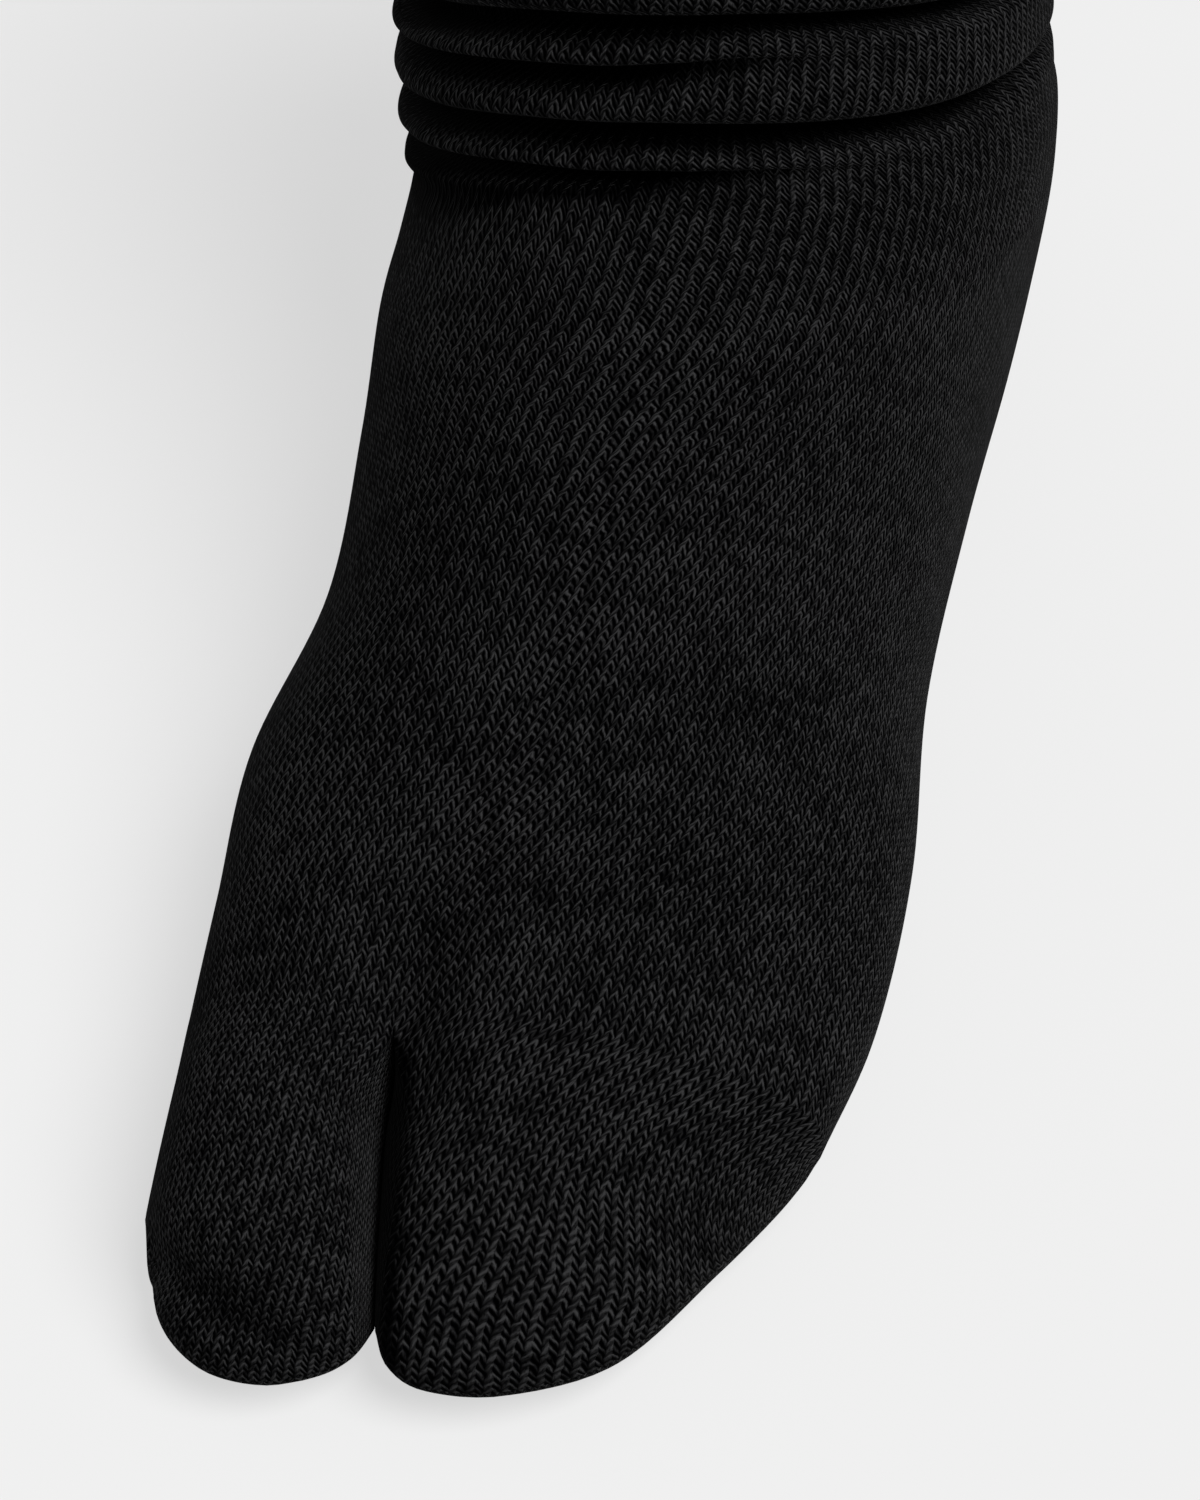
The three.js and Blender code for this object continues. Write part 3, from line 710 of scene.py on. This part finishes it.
class Nodes:
    """Shorthand for building a node tree."""

    def __init__(self, tree):
        self.tree = tree

    def put(self, value, socket):
        """Link a socket's output, or set a plain value."""
        if isinstance(value, bpy.types.NodeSocket):
            self.tree.links.new(value, socket)
        else:
            socket.default_value = value

    def node(self, kind, inputs=None, **settings):
        node = self.tree.nodes.new(kind)
        for key, value in settings.items():
            setattr(node, key, value)
        for key, value in (inputs or {}).items():
            self.put(value, node.inputs[key])
        return node

    def math(self, operation, *values):
        node = self.node("ShaderNodeMath", operation=operation)
        for value, socket in zip(values, node.inputs):
            self.put(value, socket)
        return node.outputs[0]

    def mix(self, share, low, high):
        node = self.node("ShaderNodeMix")
        for value, socket in zip((share, low, high), (node.inputs[0], node.inputs[2], node.inputs[3])):
            self.put(value, socket)
        return node.outputs[0]

    def mix_colour(self, share, low, high):
        node = self.node("ShaderNodeMix", data_type="RGBA")
        for value, socket in zip((share, low, high), (node.inputs[0], node.inputs[6], node.inputs[7])):
            self.put(value, socket)
        return node.outputs[2]

    def place(self, x, y, z=0.0):
        return self.node("ShaderNodeCombineXYZ", {"X": x, "Y": y, "Z": z}).outputs[0]

    def cells(self, x, y, size, layer=0.0):
        """A place for noise that has so many cells for each wale x and each course y."""
        return self.place(self.math("MULTIPLY", x, size[0]), self.math("MULTIPLY", y, size[1]), layer)

    def noise(self, place, scale=1.0, detail=2.0, output="Fac"):
        inputs = {"Vector": place, "Scale": scale, "Detail": detail}
        return self.node("ShaderNodeTexNoise", inputs).outputs[output]

    def map(self, name):
        """The two columns of one of the mesh's maps."""
        place = self.node("ShaderNodeUVMap", uv_map=name).outputs[0]
        return self.node("ShaderNodeSeparateXYZ", {0: place}).outputs


def new_group(name, inputs, outputs):
    tree = bpy.data.node_groups.new(name, "ShaderNodeTree")
    for label, value in inputs.items():
        socket = tree.interface.new_socket(label, in_out="INPUT", socket_type="NodeSocketFloat")
        socket.default_value = value
    for label in outputs:
        tree.interface.new_socket(label, in_out="OUTPUT", socket_type="NodeSocketFloat")
    n = Nodes(tree)
    return n, n.node("NodeGroupInput").outputs, n.node("NodeGroupOutput").inputs


# How the loops are drawn. Sizes across are in wales and sizes down in courses, and cells of noise are
# counted for each wale and each course.
SWAY_CELLS = (0.22, 0.22)      # the lines of stitches sway slowly
SWAY_DOWN = 0.5
SWAY_ACROSS = 0.5              # as a share of the sway down
JITTER_CELLS, JITTER_LAYER = 1.1, 7.0    # single stitches are off their place
JITTER_ACROSS, JITTER_DOWN = 0.3, 0.4
LEG_BEND = 0.3                 # how far the legs of a loop bend out on their way up
DASH_POWER, DASH_HEIGHT = 5, 0.9         # the right leg: relief and painted highlight along its crest, narrower for a higher power
LINE_POWER, LINE_HEIGHT, LINE_LEAST = 3.5, 0.8, 0.22    # the left leg: relief and painted highlight along its crest
LOOP_TOP, LOOP_TOP_DIP = 0.7, 0.7        # share of a leg from which its top dips, in relief and painted shade, and how much
LOOP_FOOT_POWER = 0.6          # how fast a leg rises out of the loop below it, in relief and out of painted shade
OTHER_LEG = 0.37               # tells the two legs of a loop apart in the noise
STITCH_LEAST, STITCH_SPREAD = 0.35, 1.3  # how bright single stitches are
FIBRE_CELLS = (5.0, 3.0)
FIBRE_LEVEL, FIBRE_CONTRAST = -1.2, 4.5


def plain_knit_group():
    """Loops of plain knit. Each wale is a column of nested arches whose tops point up the leg. The
    left legs of the arches lie nearly along the wale and read as a line, the right legs as dashes.
    The second output is the stitch pattern with each stitch's random tone, lit by a painted highlight
    along each leg's crest over painted shade in the gaps between legs."""
    n, given, made = new_group("plain knit loops",
                               {"Wales": 0, "Courses": 0, "Apex": 0.4, "Climb": 2}, ("Height", "Yarn and painted light"))
    wander = n.noise(n.cells(given["Wales"], given["Courses"], SWAY_CELLS))
    sway = n.math("MULTIPLY", n.math("SUBTRACT", wander, 0.5), SWAY_DOWN)
    stitch = n.place(given["Wales"], given["Courses"], JITTER_LAYER)
    jitter = n.noise(stitch, JITTER_CELLS, 0.0, "Color")
    shift = n.node("ShaderNodeSeparateXYZ", {0: jitter}).outputs
    wales = n.math("ADD", given["Wales"], n.math("MULTIPLY", sway, SWAY_ACROSS))
    wales = n.math("ADD", wales, n.math("MULTIPLY_ADD", shift[0], JITTER_ACROSS, -JITTER_ACROSS / 2))
    courses = n.math("ADD", given["Courses"], sway)
    courses = n.math("ADD", courses, n.math("MULTIPLY_ADD", shift[1], JITTER_DOWN, -JITTER_DOWN / 2))
    across = n.math("FRACT", wales)
    rising = n.math("DIVIDE", across, given["Apex"])
    falling = n.math("DIVIDE", n.math("SUBTRACT", 1, across), n.math("SUBTRACT", 1, given["Apex"]))
    arm = n.math("MINIMUM", rising, falling)
    bent = n.math("MULTIPLY", arm, n.math("MULTIPLY_ADD", arm, -LEG_BEND, 1 + LEG_BEND))
    lane = n.math("MULTIPLY_ADD", bent, given["Climb"], courses)
    strand = n.math("SINE", n.math("MULTIPLY", n.math("FRACT", lane), math.pi))
    left = n.math("LESS_THAN", across, given["Apex"])
    dash = n.math("MULTIPLY", n.math("POWER", strand, DASH_POWER), DASH_HEIGHT)
    line = n.math("MULTIPLY_ADD", n.math("POWER", strand, LINE_POWER), LINE_HEIGHT, LINE_LEAST)
    dip = n.math("MULTIPLY", n.math("MAXIMUM", n.math("SUBTRACT", arm, LOOP_TOP), 0), LOOP_TOP_DIP)
    body = n.math("MULTIPLY", n.math("POWER", arm, LOOP_FOOT_POWER), n.math("SUBTRACT", 1, dip))
    leg = n.math("MULTIPLY", n.mix(left, dash, line), body)
    column = n.math("MULTIPLY_ADD", left, OTHER_LEG, n.math("FLOOR", wales))
    inputs = {"Vector": n.place(column, n.math("FLOOR", lane))}
    own = n.node("ShaderNodeTexWhiteNoise", inputs, noise_dimensions="2D").outputs["Value"]
    fibre = n.noise(n.cells(wales, lane, FIBRE_CELLS), detail=3.0)
    fibre = n.math("MAXIMUM", n.math("MULTIPLY_ADD", fibre, FIBRE_CONTRAST, FIBRE_LEVEL), 0)
    # painted highlight along each leg's crest and painted shade between legs, times each stitch's own
    # random tone
    yarn = n.math("MULTIPLY", leg, n.math("MULTIPLY_ADD", own, STITCH_SPREAD, STITCH_LEAST))
    n.put(leg, made["Height"])
    n.put(n.math("MULTIPLY", yarn, fibre), made["Yarn and painted light"])
    return n.tree


STREAK_CELLS, STREAK_SPREAD, STREAK_LEAST = (0.11, 0.7), 1.2, 0.4
BLOTCH_CELLS, BLOTCH_SPREAD, BLOTCH_LAYER = (0.05, 0.05), 1.0, 5.0
HEATHER_LEAST = 0.2


def heather_group():
    """Streaks along the courses and soft blotches, where the black fibres are mixed unevenly."""
    n, given, made = new_group("heathered yarn", {"Wales": 0, "Courses": 0}, ("Shade",))
    streak = n.noise(n.cells(given["Wales"], given["Courses"], STREAK_CELLS), detail=1.0)
    blotch = n.noise(n.cells(given["Wales"], given["Courses"], BLOTCH_CELLS, BLOTCH_LAYER), detail=1.0)
    shade = n.math("ADD", n.math("MULTIPLY_ADD", streak, STREAK_SPREAD, STREAK_LEAST),
                   n.math("MULTIPLY_ADD", blotch, BLOTCH_SPREAD, -BLOTCH_SPREAD / 2))
    n.put(n.math("MAXIMUM", shade, HEATHER_LEAST), made["Shade"])
    return n.tree


YARN_BLACK = (0.0355, 0.0355, 0.0365, 1)
# near-black that paints the shade in the gaps between strands
GAP_SHADE_BLACK = (0.0002, 0.0002, 0.0003, 1)
RIB_FURROW = 0.35          # painted shade: light that the furrow between two ribs keeps
CREASE_DARKENS = (1.5, 5)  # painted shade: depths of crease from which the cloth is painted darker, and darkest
CREASE_DARKNESS = 0.92
LOOP_BUMP, LOOP_RELIEF = 0.6, 0.35 * MM
KNIT_ROUGHNESS, KNIT_SHEEN, KNIT_SHEEN_ROUGHNESS = 0.95, 0.03, 0.3


def knit_material(name, loops, heather, ribbed=False):
    """Black knit: yarn with painted highlights over painted shade in the gaps, and painted shade in
    the creases, under the rolls, in the cleft and the dents, or in the furrows where it is ribbed.
    """
    material = bpy.data.materials.new(name)
    material.use_nodes = True
    n = Nodes(material.node_tree)
    shader = material.node_tree.nodes["Principled BSDF"]
    place, form = n.map("stitches"), n.map("loop form")
    knit = n.node("ShaderNodeGroup", node_tree=loops)
    shade = n.node("ShaderNodeGroup", node_tree=heather)
    for group in (knit, shade):
        n.put(place[0], group.inputs["Wales"])
        n.put(place[1], group.inputs["Courses"])
    n.put(form[0], knit.inputs["Apex"])
    n.put(form[1], knit.inputs["Climb"])
    lit = n.math("MULTIPLY", knit.outputs["Yarn and painted light"], shade.outputs["Shade"])
    if ribbed:
        # painted shade in the furrow between two ribs
        crest = n.math("COSINE", n.math("MULTIPLY", n.math("SUBTRACT", place[0], 0.5), math.pi))
        half = (1 - RIB_FURROW) / 2
        kept = n.math("MULTIPLY_ADD", crest, half, 1 - half)
    else:
        # painted shade in and under the creases, in the cleft between the toes and in the dents
        crease = n.node("ShaderNodeAttribute", attribute_name="crease").outputs["Fac"]
        low, high = CREASE_DARKENS
        inside = n.math("MULTIPLY_ADD", crease, 1 / (high - low), -low / (high - low))
        inside = n.math("MINIMUM", n.math("MAXIMUM", inside, 0), CREASE_DARKNESS)
        kept = n.math("SUBTRACT", 1, inside)
    lit = n.math("MULTIPLY", lit, kept)
    n.put(n.mix_colour(lit, GAP_SHADE_BLACK, YARN_BLACK), shader.inputs["Base Color"])
    bump = n.node("ShaderNodeBump", {"Strength": LOOP_BUMP, "Distance": LOOP_RELIEF,
                                     "Height": knit.outputs["Height"]})
    n.put(bump.outputs[0], shader.inputs["Normal"])
    shader.inputs["Roughness"].default_value = KNIT_ROUGHNESS
    shader.inputs["Specular IOR Level"].default_value = 0
    shader.inputs["Sheen Weight"].default_value = KNIT_SHEEN
    shader.inputs["Sheen Roughness"].default_value = KNIT_SHEEN_ROUGHNESS
    return material


loops = plain_knit_group()
heather = heather_group()
sock = make_leg_and_foot(knit_material("black plain knit", loops, heather))
welt = make_welt(knit_material("black rib knit", loops, heather, ribbed=True))

# ---- floor and light -----------------------------------------------------------------------------

FLOOR_REACH = 12
FLOOR_GREY = 0.22          # the part of the floor that takes shadow; the rest glows evenly
FLOOR_GLOW_SEEN, FLOOR_GLOW_CAST = 0.627, 0.4
SKY_GREY, SKY_STRENGTH = 0.9, 0.26
SUN_STRENGTH, SUN_WIDTH = 3.2, math.radians(40)
SUN_DIRECTION = Vector((-0.46, 0.06, -0.83))


def make_floor():
    corners = [(x * FLOOR_REACH, y * FLOOR_REACH, 0) for x, y in ((-1, -1), (1, -1), (1, 1), (-1, 1))]
    mesh = bpy.data.meshes.new("floor")
    mesh.from_pydata(corners, [], [(0, 1, 2, 3)])
    floor = bpy.data.objects.new("floor", mesh)
    bpy.context.scene.collection.objects.link(floor)
    pale = bpy.data.materials.new("pale floor")
    pale.use_nodes = True
    shader = pale.node_tree.nodes["Principled BSDF"]
    shader.inputs["Base Color"].default_value = (FLOOR_GREY, FLOOR_GREY, FLOOR_GREY, 1)
    shader.inputs["Roughness"].default_value = 1
    shader.inputs["Specular IOR Level"].default_value = 0
    shader.inputs["Emission Color"].default_value = (1, 1, 1, 1)
    n = Nodes(pale.node_tree)
    seen = n.node("ShaderNodeLightPath").outputs["Is Camera Ray"]
    n.put(n.mix(seen, FLOOR_GLOW_CAST, FLOOR_GLOW_SEEN), shader.inputs["Emission Strength"])
    mesh.materials.append(pale)


def make_light():
    world = bpy.data.worlds.new("studio")
    bpy.context.scene.world = world
    world.use_nodes = True
    sky = world.node_tree.nodes["Background"].inputs
    sky["Color"].default_value = (SKY_GREY, SKY_GREY, SKY_GREY, 1)
    sky["Strength"].default_value = SKY_STRENGTH
    sun = bpy.data.lights.new("soft light", "SUN")
    sun.energy, sun.angle = SUN_STRENGTH, SUN_WIDTH
    lamp = bpy.data.objects.new("soft light", sun)
    lamp.rotation_mode = "QUATERNION"
    lamp.rotation_quaternion = SUN_DIRECTION.to_track_quat("-Z", "Y")
    bpy.context.scene.collection.objects.link(lamp)
    bpy.context.scene.view_settings.view_transform = "Standard"


make_floor()
make_light()
